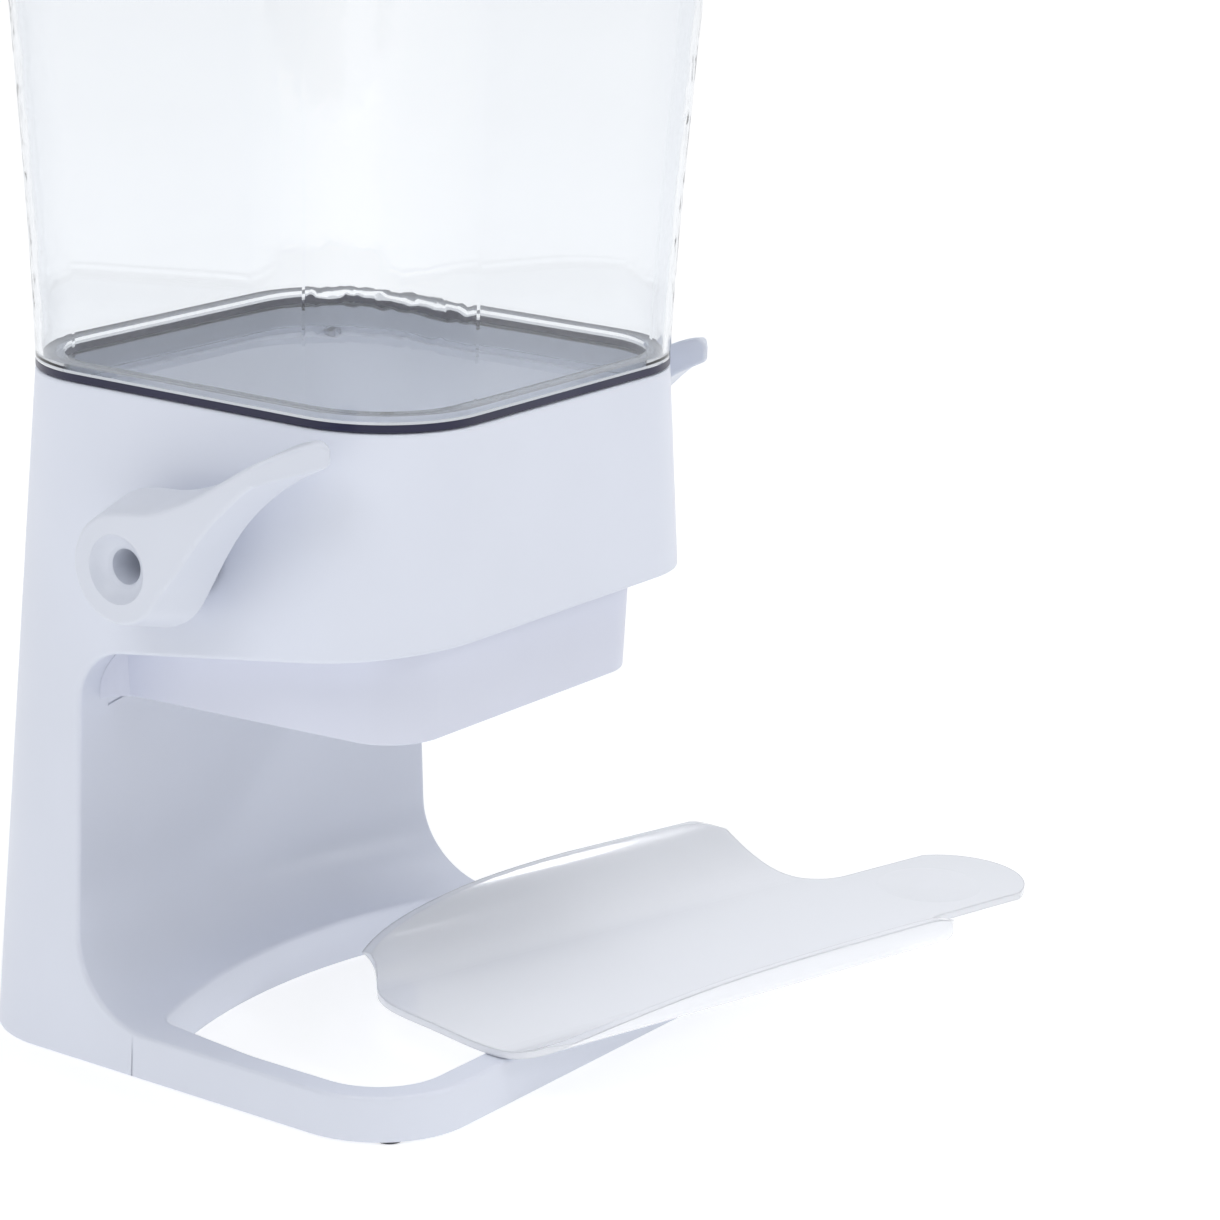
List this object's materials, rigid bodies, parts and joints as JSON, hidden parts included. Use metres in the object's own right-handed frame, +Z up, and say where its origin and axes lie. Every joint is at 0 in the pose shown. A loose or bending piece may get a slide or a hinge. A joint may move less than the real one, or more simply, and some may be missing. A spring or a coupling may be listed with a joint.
{
  "type": "dry food dispenser",
  "caption": "Countertop dry food dispenser: clear lidded hopper on a white stand, side levers that swing a gate under the hopper, and a loose scoop tray on the base ring.",
  "frame": {"origin": "on the surface the dispenser stands on, below the middle of its base ring", "axes": "+Z up, -Y towards the front where the base ring reaches out, +Y towards the column, +X to the right of someone facing the front"},
  "size_m": [0.3154, 0.2403, 0.4253],
  "materials": {
    "white_plastic": "cool white, fine satin grain",
    "inner_plastic": "white, satin",
    "lid_plastic": "cool white, satin",
    "tray_plastic": "white, glossy",
    "clear_plastic": "clear, polished",
    "navy_rubber": "dark navy, smooth",
    "silicone": "milky, soft",
    "foot_rubber": "dark grey, matt",
    "bush_plastic": "natural, smooth",
    "steel": "bright zinc",
    "spring_steel": "drawn wire"
  },
  "bodies": {
    "stand": {"stand": "white_plastic", "column_cover": "white_plastic", "cover_screws": "steel", "feet": "foot_rubber", "chute": "white_plastic", "chute_screws": "steel", "funnel": "inner_plastic", "funnel_screws": "steel", "outlet_seal": "silicone", "bush_left": "bush_plastic", "bush_right": "bush_plastic", "spring_left": "spring_steel", "spring_right": "spring_steel"},
    "gate_lever": {"gate": "inner_plastic", "gate_pins": "steel", "axle_left": "steel", "axle_right": "steel", "axle_clips": "steel", "lever_left": "white_plastic", "lever_right": "white_plastic", "lever_screws": "steel", "lever_washers": "steel"},
    "hopper": {"hopper": "clear_plastic", "hopper_gasket": "navy_rubber"},
    "lid": {"lid": "lid_plastic", "lid_gasket": "silicone"},
    "tray": {"tray": "tray_plastic"}
  },
  "joints": [
    {"name": "gate_hinge", "type": "hinge", "parent": "stand", "child": "gate_lever", "pos_m": [0, -0.002, 0.1645], "axis": [1, 0, 0], "range_deg": [0, 45], "stiffness_Nm_per_rad": 0.12, "springref_deg": -20.05},
    {"name": "hopper_lift", "type": "slide", "parent": "stand", "child": "hopper", "axis": [0, 0, 1], "range_m": [0, 0.06]},
    {"name": "lid_lift", "type": "slide", "parent": "hopper", "child": "lid", "axis": [0, 0, 1], "range_m": [0, 0.05]},
    {"name": "tray_slide", "type": "slide", "parent": "stand", "child": "tray", "axis": [0.9659, -0.2588, 0], "range_m": [-0.06, 0.03]}
  ]
}
